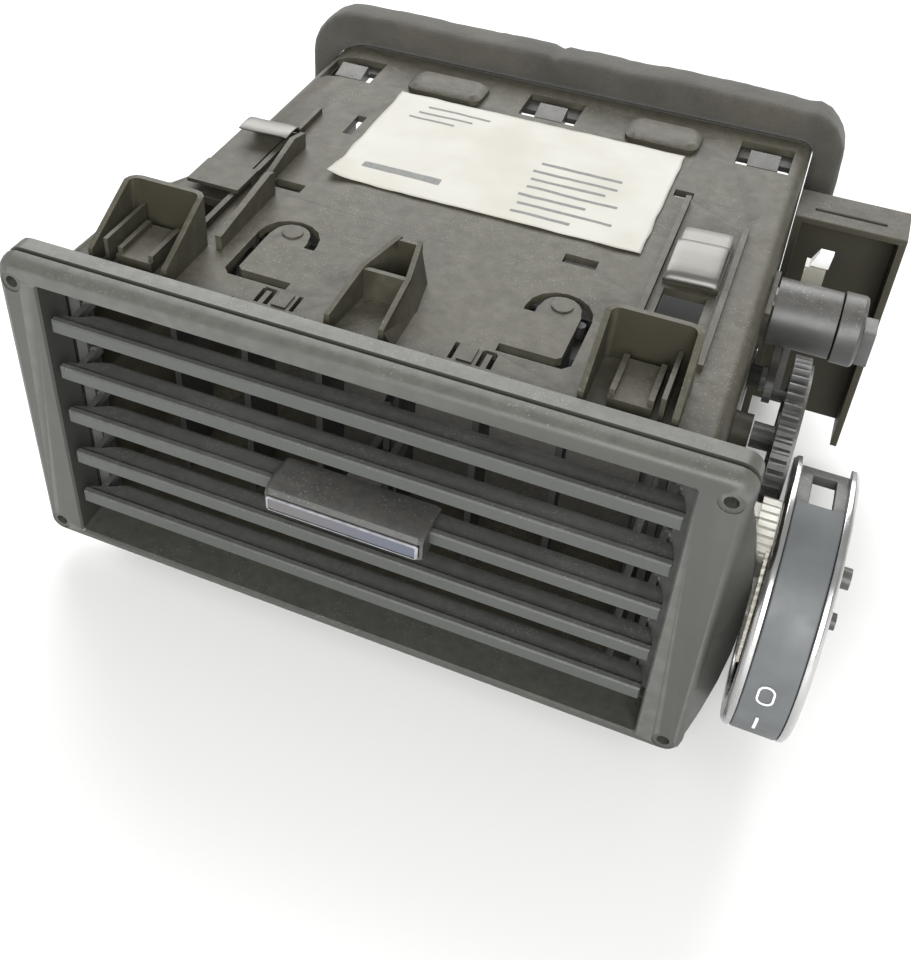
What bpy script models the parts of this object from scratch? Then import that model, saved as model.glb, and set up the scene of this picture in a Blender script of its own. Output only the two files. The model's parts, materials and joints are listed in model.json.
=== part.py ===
"""Dashboard air outlet with louvres, a sliding knob and a thumbwheel shut-off flap.

Lengths in the helpers are in millimetres, in a frame centred on the front opening:
X to the right seen from the front, Y towards the duct, Z up. The last step moves the
whole outlet so that the middle of its footprint stands on the world origin.
"""

import math

import bmesh
import bpy

MM = 0.001

# Front bezel
OPENING_X = 73.5
OPENING_Z = 39.5
BEZEL_X = 84.2
BEZEL_TOP = 44.8
BEZEL_BOTTOM = -42.4
BEZEL_DEPTH = 9.4
SCREW_X = 80.0
SCREW_Z = 38.8
SCREW_RADIUS = 1.5

# Horizontal vanes
VANE_COUNT = 5
VANE_PITCH = 13.85
VANE_PIVOT_Y = 11.6
VANE_FRONT = 1.6
VANE_REAR = 8.8
VANE_END_X = 72.4
VANE_INNER_X = 69.9
VANE_HALF = 1.85
VANE_WEB_HALF = 1.1
LINK_PIN_X = 66.0
LINK_PIN_REACH = 5.2

# Slider knob on the middle vane
KNOB_X = 2.0
KNOB_HALF = 19.2
FORK_REACH = 27.4

# Vertical vanes behind
UPRIGHT_COUNT = 7
UPRIGHT_PITCH = 20.0
UPRIGHT_Y = 38.0
UPRIGHT_ARM = 16.0
UPRIGHT_REAR = 7.0
UPRIGHT_HALF_THICKNESS = 0.8
UPRIGHT_RATIO_LENGTH = 15.2

# Housing
WALL = 2.0
HOUSING_FRONT = 9.8
HOUSING_REAR = 138.7
HOUSING_RIGHT = 76.0
HOUSING_LEFT_FRONT = -76.0
HOUSING_LEFT_REAR = -69.0
HOUSING_TOP = 40.8
SPLIT_GAP = 0.15
WEDGE_WALL = 1.2
TONGUE_MIDDLE = 1.7
TONGUE_X = 34.7

# Foam seal round the rear spigot
FOAM_FRONT = 139.2
FOAM_REAR = 151.6
FOAM_LEFT = -75.5
FOAM_RIGHT = 85.0
FOAM_TOP = 50.0

# Thumbwheel, drive gear and flap, as (y, z) of each axis
WHEEL_RADIUS = 31.0
WHEEL_LEFT = 90.0
WHEEL_RIGHT = 103.7
RING_WIDTH = 1.9
WHEEL_MIDDLE = 96.4
RIM_START = math.radians(68)
GRIP_START = math.radians(97)
RIM_END = math.radians(304)
GEAR_MODULE = 0.8
WHEEL_TEETH = 29
GEAR_TEETH = 48
GEAR_BEARING = math.radians(47.3)
GEAR_DISTANCE = GEAR_MODULE * (WHEEL_TEETH + GEAR_TEETH) / 2
WHEEL_AXIS = (24.4, -5.5)
GEAR_AXIS = (
    WHEEL_AXIS[0] + GEAR_DISTANCE * math.cos(GEAR_BEARING),
    WHEEL_AXIS[1] + GEAR_DISTANCE * math.sin(GEAR_BEARING),
)
FLAP_AXIS = (87.0, 0.0)
BOSS_END = 80.3
GUIDE_RADIUS = 29.2
GUIDE_RIGHT = 89.7
RIB_STEP = 1.75
RIB_DEPTH = 0.7
LAMP_AXIS = (74.0, 31.0)
GEAR_LEFT = 85.0
GEAR_RIGHT = 89.3
CRANK_RADIUS = 11.0
CRANK_ANGLE = math.radians(26)
ROD_LEFT = 80.4
ROD_RIGHT = 82.2
FLAP_HALF = 39.6

ROOT = None


# ---------------------------------------------------------------- solids as (points, faces)


def prism(axis, outline, low, high):
    """A flat outline carried along one axis. The outline's pairs are the other two axes in order."""
    def point(pair, along):
        ordered = list(pair)
        ordered.insert("xyz".index(axis), along)
        return tuple(ordered)

    count = len(outline)
    points = [point(pair, low) for pair in outline] + [point(pair, high) for pair in outline]
    sides = [(i, (i + 1) % count, count + (i + 1) % count, count + i) for i in range(count)]
    caps = [tuple(range(count)), tuple(range(2 * count - 1, count - 1, -1))]
    return points, sides + caps


def box(x_low, x_high, y_low, y_high, z_low, z_high):
    outline = [(x_low, y_low), (x_high, y_low), (x_high, y_high), (x_low, y_high)]
    return prism("z", outline, z_low, z_high)


def circle(centre, radius, count, start=0.0, end=2 * math.pi):
    """Points on a circle, or on an arc of it with both ends included."""
    whole = end - start > 2 * math.pi - 1e-6
    steps = count if whole else count - 1
    return [
        (
            centre[0] + radius * math.cos(start + (end - start) * i / steps),
            centre[1] + radius * math.sin(start + (end - start) * i / steps),
        )
        for i in range(count)
    ]


def cylinder(axis, centre, radius, low, high, count=16):
    return prism(axis, circle(centre, radius, count), low, high)


def loft(loops, ring=False):
    """Skins a row of loops with equal counts. A ring closes on itself, and other lofts get end caps."""
    count = len(loops[0])
    points = [point for loop in loops for point in loop]
    faces = []
    for k in range(len(loops) if ring else len(loops) - 1):
        here = k * count
        there = (k + 1) % len(loops) * count
        for i in range(count):
            after = (i + 1) % count
            faces.append((here + i, here + after, there + after, there + i))
    if not ring:
        last = (len(loops) - 1) * count
        faces.append(tuple(range(count - 1, -1, -1)))
        faces.append(tuple(range(last, last + count)))
    return points, faces


def turned(axis, centre, profile, count):
    """A closed (radius, along) profile turned round an axis that it stays clear of."""
    loops = []
    for i in range(count):
        angle = 2 * math.pi * i / count
        loop = []
        for radius, along in profile:
            spot = [centre[0] + radius * math.cos(angle), centre[1] + radius * math.sin(angle)]
            spot.insert("xyz".index(axis), along)
            loop.append(tuple(spot))
        loops.append(loop)
    return loft(loops, ring=True)


def group(*solids):
    """Several solids that do not touch, as one."""
    points = []
    faces = []
    for more_points, more_faces in solids:
        base = len(points)
        points.extend(more_points)
        faces.extend(tuple(base + i for i in face) for face in more_faces)
    return points, faces


def mirrored(solid):
    """The solid on the other side of the middle plane."""
    points, faces = solid
    return [(-x, y, z) for x, y, z in points], [face[::-1] for face in faces]


def both_sides(solid):
    return group(solid, mirrored(solid))


def tilted(solid, axis, centre, angle):
    """The solid turned about a line along X (centre is y, z) or along Z (centre is x, y)."""
    first, second = {"x": (1, 2), "z": (0, 1)}[axis]
    turned_points = []
    for point in solid[0]:
        spot = list(point)
        a = point[first] - centre[0]
        b = point[second] - centre[1]
        spot[first] = centre[0] + a * math.cos(angle) - b * math.sin(angle)
        spot[second] = centre[1] + a * math.sin(angle) + b * math.cos(angle)
        turned_points.append(tuple(spot))
    return turned_points, solid[1]


def rounded_rectangle(low, high, radii, steps=4):
    """Corners run anticlockwise from the low corner, each with its own radius."""
    centres = [
        (low[0] + radii[0], low[1] + radii[0], math.pi),
        (high[0] - radii[1], low[1] + radii[1], 1.5 * math.pi),
        (high[0] - radii[2], high[1] - radii[2], 0.0),
        (low[0] + radii[3], high[1] - radii[3], 0.5 * math.pi),
    ]
    outline = []
    for (x, z, start), radius in zip(centres, radii):
        outline.extend(circle((x, z), radius, steps + 1, start, start + 0.5 * math.pi))
    return outline


def stroke(path, width):
    """The outline of a line of the given width drawn along a path."""
    half = width / 2
    left = []
    right = []
    for i, (x, y) in enumerate(path):
        before = path[max(i - 1, 0)]
        after = path[min(i + 1, len(path) - 1)]
        dx = after[0] - before[0]
        dy = after[1] - before[1]
        length = math.hypot(dx, dy)
        left.append((x - dy / length * half, y + dx / length * half))
        right.append((x + dy / length * half, y - dx / length * half))
    return left + right[::-1]


def gear_outline(centre, teeth, phase):
    """Straight-sided teeth with a little backlash."""
    pitch = GEAR_MODULE * teeth / 2
    outline = []
    for i in range(teeth):
        middle = phase + 2 * math.pi * i / teeth
        step = 2 * math.pi / teeth
        for radius, offset in (
            (pitch - 1.15 * GEAR_MODULE, -0.27),
            (pitch + 0.75 * GEAR_MODULE, -0.09),
            (pitch + 0.75 * GEAR_MODULE, 0.09),
            (pitch - 1.15 * GEAR_MODULE, 0.27),
        ):
            angle = middle + offset * step
            outline.append((centre[0] + radius * math.cos(angle), centre[1] + radius * math.sin(angle)))
    return outline


# ---------------------------------------------------------------- objects


def clear_scene():
    for obj in list(bpy.data.objects):
        bpy.data.objects.remove(obj)


def material(name, colour, roughness, metallic=0.0):
    """One Principled material for each kind of stuff, made on first use."""
    found = bpy.data.materials.get(name)
    if found:
        return found
    made = bpy.data.materials.new(name)
    made.use_nodes = True
    shader = made.node_tree.nodes["Principled BSDF"]
    shader.inputs["Base Color"].default_value = (*colour, 1.0)
    shader.inputs["Roughness"].default_value = roughness
    shader.inputs["Metallic"].default_value = metallic
    return made


def bezel_plastic():
    return material("bezel_plastic", (0.035, 0.035, 0.032), 0.5)


def vane_plastic():
    return material("vane_plastic", (0.028, 0.030, 0.030), 0.55)


def housing_plastic():
    return material("housing_plastic", (0.045, 0.042, 0.036), 0.5)


def dark_plastic():
    return material("dark_plastic", (0.018, 0.018, 0.018), 0.45)


def clear_plastic():
    return material("clear_plastic", (0.70, 0.68, 0.60), 0.2)


def white_plastic():
    return material("white_plastic", (0.80, 0.80, 0.78), 0.4)


def foam():
    return material("foam", (0.050, 0.047, 0.038), 0.95)


def rubber():
    return material("grip_rubber", (0.075, 0.078, 0.080), 0.6)


def bright_chrome():
    return material("chrome", (0.80, 0.80, 0.80), 0.15, 1.0)


def spring_steel():
    return material("spring_steel", (0.60, 0.60, 0.58), 0.3, 1.0)


def label_paper():
    return material("label_paper", (0.80, 0.79, 0.74), 0.6)


def insert_plastic():
    return material("insert_plastic", (0.42, 0.42, 0.48), 0.2)


def mesh_from(name, solid, pivot):
    """A mesh with outward faces, measured from its pivot and in metres."""
    points, faces = solid
    mesh = bpy.data.meshes.new(name)
    mesh.from_pydata([tuple((c - p) * MM for c, p in zip(point, pivot)) for point in points], [], faces)
    work = bmesh.new()
    work.from_mesh(mesh)
    bmesh.ops.triangulate(work, faces=work.faces)
    bmesh.ops.recalc_face_normals(work, faces=work.faces)
    work.to_mesh(mesh)
    work.free()
    return mesh


def place(name, mesh, look, pivot):
    obj = bpy.data.objects.new(name, mesh)
    bpy.context.scene.collection.objects.link(obj)
    obj.location = [c * MM for c in pivot]
    obj.parent = ROOT
    if look and not mesh.materials:
        mesh.materials.append(look)
    return obj


def build(name, solid, look, pivot=(0.0, 0.0, 0.0)):
    return place(name, mesh_from(name, solid, pivot), look, pivot)


def change(target, solid, operation):
    """Joins a solid to the target or cuts it away, and keeps only the result."""
    tool = build("tool", solid, None)
    step = target.modifiers.new("change", "BOOLEAN")
    step.operation = operation
    step.solver = "EXACT"
    step.object = tool
    bpy.context.view_layer.update()
    graph = bpy.context.evaluated_depsgraph_get()
    result = bpy.data.meshes.new_from_object(target.evaluated_get(graph))
    result.name = target.name
    target.modifiers.clear()
    target.data = result
    bpy.data.objects.remove(tool)
    return target


def join(target, solid):
    return change(target, solid, "UNION")


def cut(target, solid):
    return change(target, solid, "DIFFERENCE")


def smooth(obj, limit=math.radians(32)):
    obj.data.shade_smooth()
    obj.data.set_sharp_from_angle(angle=limit)
    return obj


# ---------------------------------------------------------------- front bezel


def bezel_loop(y, inset):
    outline = rounded_rectangle(
        (-BEZEL_X + inset, BEZEL_BOTTOM + 0.5 * inset),
        (BEZEL_X - inset, BEZEL_TOP - inset),
        (3.0, 3.0, 4.0, 4.0),
    )
    return [(x, y, z) for x, z in outline]


def opening_loop(y, grow):
    outline = rounded_rectangle(
        (-OPENING_X - grow, -OPENING_Z - grow), (OPENING_X + grow, OPENING_Z + grow), (0.8,) * 4
    )
    return [(x, y, z) for x, z in outline]


def cheek():
    """The bulging flank beside the opening on the right, deepest at mid height."""
    sections = []
    for step in range(9):
        z = -38.5 + 74.5 * step / 8
        bulge = 5.2 * max(0.03, 1 - ((z + 1.0) / 38.5) ** 2)
        sections.append(
            [
                (BEZEL_X - 3.0, 1.2, z),
                (BEZEL_X - 0.8, 1.2, z),
                (BEZEL_X - 0.6 + bulge, 2.4 + 1.0 * bulge, z),
                (BEZEL_X - 0.6 + bulge, 4.0 + 1.1 * bulge, z),
                (BEZEL_X - 3.0, 4.0 + 1.1 * bulge, z),
            ]
        )
    return loft(sections)


def front_bezel():
    outer = [(0.0, 2.2), (0.3, 1.3), (1.2, 0.5), (2.6, 0.1), (4.1, 0.0), (4.2, 0.9), (5.3, 0.9), (5.4, 0.0)]
    loops = [bezel_loop(y, inset) for y, inset in outer]
    loops.append(bezel_loop(BEZEL_DEPTH, 0.0))
    loops.append(opening_loop(BEZEL_DEPTH, 0.3))
    loops.append(opening_loop(0.6, 0.0))
    loops.append(opening_loop(0.0, 0.4))
    bezel = build("front_bezel", loft(loops, ring=True), bezel_plastic())
    join(bezel, cheek())
    corners = [(x, z) for x in (-SCREW_X, SCREW_X) for z in (-SCREW_Z, SCREW_Z)]
    cut(bezel, group(*[cylinder("y", corner, 2.6, -1.0, 0.35) for corner in corners]))
    cut(bezel, group(*[cylinder("y", corner, SCREW_RADIUS, -2.0, 6.0, 12) for corner in corners]))
    return smooth(bezel)


# ---------------------------------------------------------------- horizontal vanes and knob


def vane_heights():
    middle = (VANE_COUNT - 1) / 2
    return [(middle - i) * VANE_PITCH for i in range(VANE_COUNT)]


def vane_blade():
    """A blade seen from above: a tall bar in front and a thin web whose left rear corner is cut off."""
    stations = [
        (VANE_FRONT, VANE_END_X - 0.3, VANE_END_X - 0.3, VANE_HALF - 0.35),
        (VANE_FRONT + 0.4, VANE_END_X, VANE_END_X, VANE_HALF),
        (VANE_FRONT + 1.6, VANE_END_X, VANE_END_X, VANE_HALF),
        (VANE_FRONT + 2.2, VANE_END_X, VANE_END_X, VANE_WEB_HALF + 0.1),
        (VANE_FRONT + 2.7, VANE_END_X, VANE_END_X, VANE_WEB_HALF),
        (VANE_FRONT + 4.1, VANE_END_X - 3.9, VANE_END_X - 0.3, VANE_WEB_HALF),
        (VANE_FRONT + 6.2, VANE_END_X - 7.7, VANE_END_X - 1.0, VANE_WEB_HALF),
        (VANE_REAR, VANE_END_X - 9.5, VANE_END_X - 1.4, VANE_WEB_HALF - 0.4),
    ]
    loops = []
    for y, left, right, half_z in stations:
        loops.append([(-left, y, -half_z), (right, y, -half_z), (right, y, half_z), (-left, y, half_z)])
    return loft(loops)


def vane_arm():
    """The narrow arm at one end of a vane that reaches back to the end pin."""
    half = VANE_WEB_HALF - 0.2
    return box(VANE_INNER_X - 1.6, VANE_INNER_X, VANE_FRONT + 2.4, VANE_PIVOT_Y + 1.3, -half, half)


def vane_pins():
    ends = cylinder("x", (VANE_PIVOT_Y, 0.0), 1.1, VANE_INNER_X - 1.0, 72.3, 12)
    return both_sides(ends)


def link_lug():
    """The arm and the pin that the upright link holds."""
    front = VANE_REAR - 0.8
    rear = VANE_PIVOT_Y + LINK_PIN_REACH + 1.0
    half = VANE_WEB_HALF - 0.2
    arm = [(front, -half), (rear, -half), (rear, half), (front, half)]
    return prism("x", arm, LINK_PIN_X - 3.2, LINK_PIN_X - 1.6)


def link_pin():
    centre = (VANE_PIVOT_Y + LINK_PIN_REACH, 0.0)
    return cylinder("x", centre, 0.8, LINK_PIN_X - 2.0, LINK_PIN_X + 1.6, 10)


def horizontal_vanes():
    first = build("horizontal_vane_1", vane_blade(), vane_plastic(), (0.0, VANE_PIVOT_Y, 0.0))
    for extra in (both_sides(vane_arm()), vane_pins(), link_lug(), link_pin()):
        join(first, extra)
    smooth(first)
    for i, height in enumerate(vane_heights()):
        pivot = (0.0, VANE_PIVOT_Y, height)
        if i:
            place(f"horizontal_vane_{i + 1}", first.data, None, pivot)
        else:
            first.location = [c * MM for c in pivot]


def bearing_strip(side):
    """The strip inside the housing wall that takes the vanes' end pins."""
    name = "vane_bearing_right" if side > 0 else "vane_bearing_left"
    outline = rounded_rectangle((10.0, -36.6), (14.4, 36.6), (1.0,) * 4, 2)
    body = prism("x", outline, 70.4, 73.4)
    holes = group(*[cylinder("x", (VANE_PIVOT_Y, z), 1.3, 70.0, 72.7, 12) for z in vane_heights()])
    if side < 0:
        body = mirrored(body)
        holes = mirrored(holes)
    return smooth(cut(build(name, body, dark_plastic()), holes))


def vane_link():
    """The upright bar that makes the five vanes tilt together."""
    y = VANE_PIVOT_Y + LINK_PIN_REACH
    heights = vane_heights()
    outline = rounded_rectangle((y - 1.9, heights[-1] - 2.6), (y + 1.9, heights[0] + 2.6), (1.6,) * 4, 3)
    body = prism("x", outline, LINK_PIN_X - 0.9, LINK_PIN_X + 0.9)
    holes = group(*[cylinder("x", (y, z), 1.0, LINK_PIN_X - 2, LINK_PIN_X + 2, 12) for z in heights])
    pivot = (LINK_PIN_X, y, heights[(VANE_COUNT - 1) // 2])
    return smooth(cut(build("vane_link", body, dark_plastic(), pivot), holes))


def knob_profile():
    """The C-shaped section that wraps the middle vane from the front, as (y, z)."""
    return [
        (-3.2, 2.5),
        (-2.3, 3.5),
        (0.0, 3.9),
        (6.6, 3.6),
        (8.6, 3.0),
        (8.6, 2.2),
        (1.2, 2.2),
        (1.2, -2.2),
        (8.6, -2.2),
        (8.6, -2.9),
        (6.6, -3.3),
        (-2.4, -3.4),
        (-3.2, -2.5),
    ]


def slider_knob():
    left = KNOB_X - KNOB_HALF
    right = KNOB_X + KNOB_HALF
    loops = []
    for x, shrink in ((left, 1.0), (left + 1.2, 0.0), (right - 1.2, 0.0), (right, 1.0)):
        loop = []
        for y, z in knob_profile():
            outer = abs(z) > 2.0 or y < -0.5
            drop = 0.5 * shrink if outer and z > 2.4 else 0.0
            back = 0.7 * shrink if y < -2.0 else 0.0
            loop.append((x, y + back, z - drop))
        loops.append(loop)
    knob = build("slider_knob", loft(loops), dark_plastic(), (KNOB_X, VANE_PIVOT_Y, 0.0))
    window = [(KNOB_X - 18.5, -2.1), (KNOB_X + 18.5, -2.1), (KNOB_X + 18.5, 2.1), (KNOB_X - 18.5, 2.1)]
    cut(knob, prism("y", window, -6.0, -1.9))
    bridge = box(KNOB_X - 4.2, KNOB_X + 4.2, 7.0, 17.9, 2.1, 3.0)
    join(knob, bridge)
    prongs = [
        box(KNOB_X + side - 0.9, KNOB_X + side + 0.9, 17.0, FORK_REACH, -1.6, 2.6)
        for side in (-2.6, 2.6)
    ]
    join(knob, group(*prongs))
    return smooth(knob)


def knob_insert():
    outline = rounded_rectangle((KNOB_X - 18.2, -1.8), (KNOB_X + 18.2, 1.8), (0.4,) * 4, 2)
    loops = []
    for y, inset in ((-2.2, 0.0), (-3.3, 0.0), (-3.7, 0.35)):
        shrunk = [
            (x - math.copysign(inset, x - KNOB_X), y, z - math.copysign(inset, z)) for x, z in outline
        ]
        loops.append(shrunk)
    return smooth(build("knob_insert", loft(loops), insert_plastic(), (KNOB_X, VANE_PIVOT_Y, 0.0)))


# ---------------------------------------------------------------- vertical vanes


def upright_places():
    middle = (UPRIGHT_COUNT - 1) / 2
    return [(i - middle) * UPRIGHT_PITCH for i in range(UPRIGHT_COUNT)]


def upright_profile():
    """A vertical blade from the side, as (y, z), with its link pin standing in a notch behind."""
    y = UPRIGHT_Y
    return [
        (y - 9.6, -36.6),
        (y + 8.0, -36.6),
        (y + 8.0, 30.0),
        (y + 7.8, 30.0),
        (y + 7.8, 35.4),
        (y + 6.2, 35.4),
        (y + 6.2, 30.0),
        (y + 2.6, 30.0),
        (y + 2.6, 36.6),
        (y - 8.2, 36.6),
        (y - 9.6, 35.2),
    ]


def upright_pivots(x):
    top = cylinder("z", (x, UPRIGHT_Y), 1.2, 36.0, 39.8, 10)
    bottom = cylinder("z", (x, UPRIGHT_Y), 1.2, -39.8, -36.0, 10)
    return group(top, bottom)


def upright_blade(x):
    thick = UPRIGHT_HALF_THICKNESS
    return prism("x", upright_profile(), x - thick, x + thick)


def drive_bar(x):
    """The bar in front of the middle blade that the knob's fork straddles."""
    y = UPRIGHT_Y
    outline = [
        (y - UPRIGHT_ARM - 1.0, -17.0),
        (y - 8.6, -17.0),
        (y - 8.6, -15.0),
        (y - UPRIGHT_ARM + 1.0, -15.0),
        (y - UPRIGHT_ARM + 1.0, 15.0),
        (y - 8.6, 15.0),
        (y - 8.6, 17.0),
        (y - UPRIGHT_ARM - 1.0, 17.0),
    ]
    return prism("x", outline, x - 0.75, x + 0.75)


def rest_swing():
    """How far the upright blades are turned by the knob standing off centre."""
    return KNOB_X / UPRIGHT_RATIO_LENGTH


def vertical_vanes():
    swing = rest_swing()
    plain = None
    for i, x in enumerate(upright_places()):
        name = f"vertical_vane_{i + 1}"
        pivot = (x, UPRIGHT_Y, 0.0)
        driven = i == UPRIGHT_COUNT // 2
        if plain and not driven:
            place(name, plain, None, pivot)
            continue
        vane = build(name, tilted(upright_blade(x), "z", pivot[:2], swing), vane_plastic(), pivot)
        join(vane, upright_pivots(x))
        if driven:
            join(vane, tilted(drive_bar(x), "z", pivot[:2], swing))
            continue
        plain = vane.data


def upright_link():
    """The flat bar behind that makes the vertical vanes turn together."""
    swing = rest_swing()
    places = upright_places()
    shift = -UPRIGHT_REAR * math.sin(swing)
    y = UPRIGHT_Y + UPRIGHT_REAR * math.cos(swing)
    outline = rounded_rectangle(
        (places[0] + shift - 3.0, y - 2.2), (places[-1] + shift + 3.0, y + 2.2), (1.6,) * 4, 3
    )
    body = prism("z", outline, 32.0, 33.6)
    holes = group(*[cylinder("z", (x + shift, y), 1.4, 31.0, 34.6, 12) for x in places])
    pivot = (shift, y, 32.8)
    return smooth(cut(build("vertical_vane_link", body, dark_plastic(), pivot), holes))


# ---------------------------------------------------------------- housing


def shell_loop(y, left, radius, grow):
    """Half of the duct wall at one depth, as an upper U that starts and ends on the split line."""
    outer = []
    inner = []
    for offset, line in ((0.0, outer), (WALL, inner)):
        right = HOUSING_RIGHT + grow - offset
        top = HOUSING_TOP + grow - offset
        wall = left - grow + offset
        curve = max(radius - offset, 0.8)
        edge = max(3.0 - offset, 0.8)
        line.append((right, SPLIT_GAP))
        line.extend(circle((right - edge, top - edge), edge, 4, 0.0, 0.5 * math.pi))
        line.extend(circle((wall + curve, top - curve), curve, 6, 0.5 * math.pi, math.pi))
        line.append((wall, SPLIT_GAP))
    return [(x, y, z) for x, z in outer + inner[::-1]]


def shell():
    stations = (
        (HOUSING_FRONT, HOUSING_LEFT_FRONT, 5.0),
        (30.0, HOUSING_LEFT_FRONT, 6.0),
        (48.0, -75.0, 9.0),
        (62.0, -70.5, 13.0),
        (80.0, HOUSING_LEFT_REAR, 14.0),
        (HOUSING_REAR, HOUSING_LEFT_REAR, 14.0),
    )
    return loft([shell_loop(y, left, radius, 0.0) for y, left, radius in stations])


def flipped(solid):
    """The solid upside down."""
    points, faces = solid
    return [(x, y, -z) for x, y, z in points], [face[::-1] for face in faces]


def side_pocket():
    """One screw pocket beside the flange: three thin walls that fall away towards the back."""
    top = HOUSING_TOP - 0.6
    x_low = 46.4
    x_high = 66.6
    wall = 1.3
    outer = rounded_rectangle((x_low, 11.0), (x_high, 30.4), (0.3, 0.3, 3.0, 3.0), 3)
    inner = rounded_rectangle((x_low + wall, 8.0), (x_high - wall, 30.4 - wall), (0.3, 0.3, 1.8, 1.8), 3)
    low = [(x, y, top) for x, y in outer]
    high = [(x, y, 54.0 - max(0.0, 27.0 - y) * 0.55) for x, y in outer]
    body = loft([low, high])
    space = loft([[(x, y, top + 0.7) for x, y in inner], [(x, y, 60.0) for x, y in inner]])
    return body, space


def pocket_tongue():
    """The raised block and ribs on a pocket's floor."""
    return [
        box(52.0, 61.0, 13.5, 27.0, HOUSING_TOP - 0.4, 43.6),
        box(59.8, 61.0, 14.5, 26.4, 43.2, 45.0),
        box(52.0, 53.2, 14.5, 26.4, 43.2, 45.0),
        box(62.4, 63.4, 13.0, 28.8, HOUSING_TOP - 0.4, 47.6),
    ]


def wedge_wall(base, top):
    """One wall of the wedge, from its outer line at the floor to its outer line at the climbing top."""
    floor = HOUSING_TOP - 0.5
    loops = []
    for (x, y, z), base_x in zip(top, base):
        inner = x + WEDGE_WALL
        loops.append([(base_x, y, floor), (inner, y, floor), (inner, y, z), (x, y, z)])
    return loft(loops)


def centre_pocket():
    """The hollow wedge in the middle: side walls that close in and climb backwards, and two cross walls."""
    floor = HOUSING_TOP - 0.5
    left_top = [(-9.0, 12.0, 45.2), (-7.4, 26.5, 48.8), (-3.0, 37.0, 51.4)]
    left_base = (-9.4, -7.8, -3.4)
    right_top = [(3.4, 12.0, 45.2), (3.4, 26.5, 48.8), (1.8, 37.0, 51.4)]
    right_base = (3.2, 3.2, 1.6)
    skirt = loft(
        [
            [(4.0 - slim, y, floor), (base, y, floor), (4.4 - slim, y, z), (4.0 - slim, y, z)]
            for y, z, base, slim in ((12.4, 44.6, 6.9, 0.0), (26.4, 48.0, 6.6, 0.0), (36.6, 50.4, 4.8, 1.6))
        ]
    )
    cross = prism("y", [(-7.2, floor), (4.2, floor), (4.2, 48.4), (-7.2, 48.4)], 25.9, 27.1)
    rear = prism("y", [(-3.1, floor), (2.8, floor), (2.8, 51.0), (-3.1, 51.0)], 35.7, 36.8)
    return [wedge_wall(left_base, left_top), wedge_wall(right_base, right_top), skirt, cross, rear]


def tongue_slot():
    """The open slot round one springy tongue of the top wall, on the right."""
    around = circle((TONGUE_X, 38.65), 7.55, 9, math.pi, 0.0)
    head = circle((TONGUE_X, 40.2), 4.6, 9, 0.0, math.pi)
    foot = [(42.25, 22.8), (40.6, 21.0), (26.2, 21.0), (26.2, 23.6), (38.6, 23.6), (39.65, 24.6)]
    outline = [(27.15, 37.0)] + around + foot + [(39.65, 39.0)] + head + [(29.75, 39.0), (29.75, 37.0)]
    return prism("z", outline, HOUSING_TOP - 4.0, HOUSING_TOP + 2.0)


def tongue_slots():
    """Both slots, whose middle line stands a little to the right of the outlet's."""
    points, faces = mirrored(tongue_slot())
    return group(tongue_slot(), ([(x + 2 * TONGUE_MIDDLE, y, z) for x, y, z in points], faces))


def top_windows():
    """Slots and windows through the top wall."""
    low = HOUSING_TOP - 4.0
    high = HOUSING_TOP + 2.0
    slots = [
        box(-62.0, -46.0, 118.0, 131.0, low, high),
        box(-2.0, 14.0, 120.0, 133.0, low, high),
        box(58.0, 72.0, 120.0, 133.0, low, high),
        box(-45.8, -37.8, 57.6, 61.2, low, high),
        box(29.6, 37.6, 57.6, 61.2, low, high),
        box(-41.0, -38.4, 89.0, 99.5, low, high),
        box(46.8, 51.6, 97.0, 100.4, low, high),
        box(53.6, 63.4, 34.0, 58.0, low, high),
        box(-62.4, -53.0, 34.0, 46.0, low, high),
    ]
    return group(*slots)


def snap_slots():
    """The small catches just behind the bezel: a thin slit, and a slot that loops round a rib."""
    low = HOUSING_TOP - 4.0
    high = HOUSING_TOP + 2.0
    loop = [
        (24.0, 14.6),
        (25.1, 14.6),
        (25.1, 19.2),
        (26.3, 19.2),
        (26.3, 14.6),
        (27.4, 14.6),
        (27.4, 19.6),
        (26.8, 20.2),
        (24.6, 20.2),
        (24.0, 19.6),
    ]
    return both_sides(group(box(17.8, 18.8, 14.6, 20.2, low, high), prism("z", loop, low, high)))


def snap_pad():
    """The low pad between a catch's slit and its loop."""
    return box(19.7, 23.1, 14.8, 19.8, HOUSING_TOP - 0.5, HOUSING_TOP + 0.4)


def notch_dents():
    """Four small triangles sunk into the top wall just behind the bezel."""
    low = HOUSING_TOP - 1.0
    high = HOUSING_TOP + 2.0
    dents = []
    for x in (-32.1, -14.6, 14.6, 32.1):
        dents.append(prism("z", [(x - 1.3, 12.2), (x + 1.3, 12.2), (x, 14.2)], low, high))
    return group(*dents)


def clip_seat():
    """Rails and a raised step for the spring clip, on the right."""
    floor = HOUSING_TOP - 0.5
    return [
        box(50.2, 51.6, 32.0, 96.0, floor, 42.6),
        box(66.0, 67.4, 32.6, 88.0, floor, 42.4),
        box(52.6, 65.2, 60.0, 80.0, floor, 42.0),
    ]


def left_clip_seat():
    """The same on the left, where the wall curves down and a block fills the corner."""
    floor = HOUSING_TOP - 0.5
    return [
        box(-51.6, -50.2, 32.0, 96.0, floor, 42.6),
        box(-67.4, -66.0, 32.6, 46.0, floor, 42.4),
        box(-64.6, -52.6, 60.0, 80.0, 36.4, 42.0),
    ]


def long_rib():
    """The left rib that runs back from the pocket and the shorter one that follows it."""
    floor = HOUSING_TOP - 0.5
    first = [(28.4, floor), (54.6, floor), (54.6, 47.0), (52.4, 47.6), (28.4, 44.4)]
    second = [(58.0, floor), (78.0, floor), (78.0, 45.0), (72.0, 46.4), (58.0, 43.2)]
    return [prism("x", first, -44.4, -42.8), prism("x", second, -47.6, -46.2)]


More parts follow.
